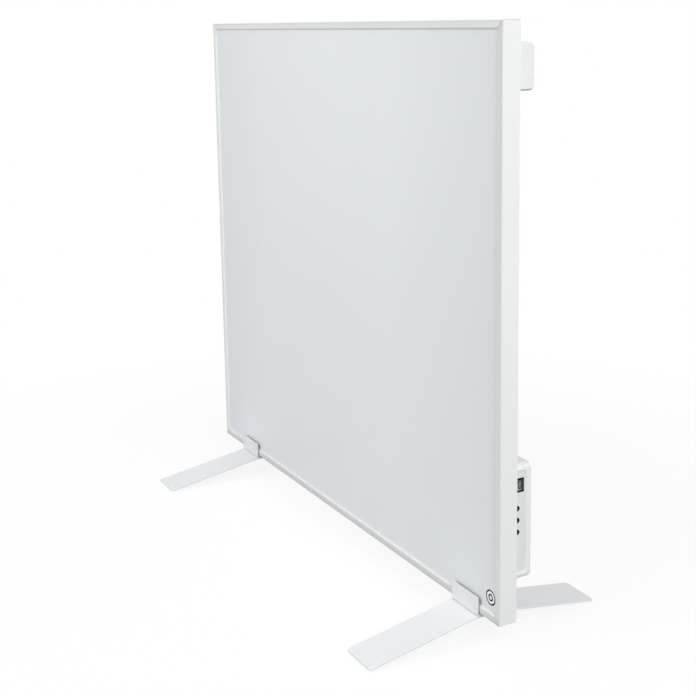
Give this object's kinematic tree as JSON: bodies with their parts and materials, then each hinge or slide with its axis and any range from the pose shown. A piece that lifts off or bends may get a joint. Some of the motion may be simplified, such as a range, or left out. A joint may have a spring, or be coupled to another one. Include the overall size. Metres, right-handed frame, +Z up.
{
  "type": "infrared panel heater",
  "caption": "Slim framed infrared panel heater on two arched sheet-metal feet, with wall hangers and a rear control box with display and push buttons.",
  "frame": {"origin": "on the floor, below the middle of the panel", "axes": "+X runs along the panel to the right seen from the front, the radiating face looks towards -Y, +Z is up"},
  "size_m": [0.7, 0.28, 0.6275],
  "materials": {
    "frame_white": "satin",
    "face_white": "satin",
    "back_white": "satin",
    "foot_white": "satin",
    "box_white": "satin",
    "fascia_white": "matt",
    "hanger_white": "satin",
    "display_black": "gloss",
    "button_black": "satin",
    "status_clear": "gloss",
    "component_black": "matt",
    "terminal_grey": "matt",
    "board_green": "satin",
    "gland_grey": "satin",
    "rubber_grey": "matt",
    "rubber_black": "matt",
    "carbon_film": "matt",
    "copper": "satin",
    "foil": "gloss",
    "insulation": "matt",
    "raw_aluminium": "satin",
    "steel": "satin"
  },
  "bodies": {
    "heater": {"back_panel": "back_white", "back_panel_screws": "steel", "board_screws": "steel", "box_base": "box_white", "box_base_screws": "steel", "box_cover": "box_white", "box_cover_screws": "steel", "busbar_left": "copper", "busbar_right": "copper", "cable_gland": "gland_grey", "capacitor": "component_black", "control_board": "board_green", "control_fascia": "fascia_white", "corner_key_bottom_left": "raw_aluminium", "corner_key_bottom_right": "raw_aluminium", "corner_key_top_left": "raw_aluminium", "corner_key_top_right": "raw_aluminium", "display_module": "component_black", "display_window": "display_black", "film_lead_left": "rubber_black", "film_lead_right": "rubber_black", "foot_leg_left": "foot_white", "foot_leg_right": "foot_white", "foot_pad_left_front": "rubber_black", "foot_pad_left_rear": "rubber_black", "foot_pad_right_front": "rubber_black", "foot_pad_right_rear": "rubber_black", "foot_saddle_left": "foot_white", "foot_saddle_right": "foot_white", "foot_screws": "steel", "frame_bottom": "frame_white", "frame_left": "frame_white", "frame_right": "frame_white", "frame_top": "frame_white", "front_panel": "face_white", "gland_nut": "gland_grey", "hanger_left": "hanger_white", "hanger_right": "hanger_white", "hanger_screws": "steel", "heating_film": "carbon_film", "infrared_receiver": "component_black", "insulation_board": "insulation", "key_switch_minus": "component_black", "key_switch_plus": "component_black", "key_switch_power": "component_black", "lead_grommet": "rubber_black", "nut_plates": "steel", "power_board": "board_green", "reflector_foil": "foil", "relay": "component_black", "saddle_liner_left": "rubber_grey", "saddle_liner_right": "rubber_grey", "status_light": "status_clear", "temperature_sensor": "component_black", "terminal_block": "terminal_grey", "thermal_cutout": "component_black", "transformer": "component_black"},
    "power_button": {"button_power": "button_black"},
    "plus_button": {"button_plus": "button_black"},
    "minus_button": {"button_minus": "button_black"}
  },
  "joints": [
    {"name": "power_button_press", "type": "slide", "parent": "heater", "child": "power_button", "axis": [-1, 0, 0], "range_m": [0, 0.0008], "stiffness_N_per_m": 1500, "springref_m": -0.0004},
    {"name": "plus_button_press", "type": "slide", "parent": "heater", "child": "plus_button", "axis": [-1, 0, 0], "range_m": [0, 0.0008], "stiffness_N_per_m": 1500, "springref_m": -0.0004},
    {"name": "minus_button_press", "type": "slide", "parent": "heater", "child": "minus_button", "axis": [-1, 0, 0], "range_m": [0, 0.0008], "stiffness_N_per_m": 1500, "springref_m": -0.0004}
  ]
}
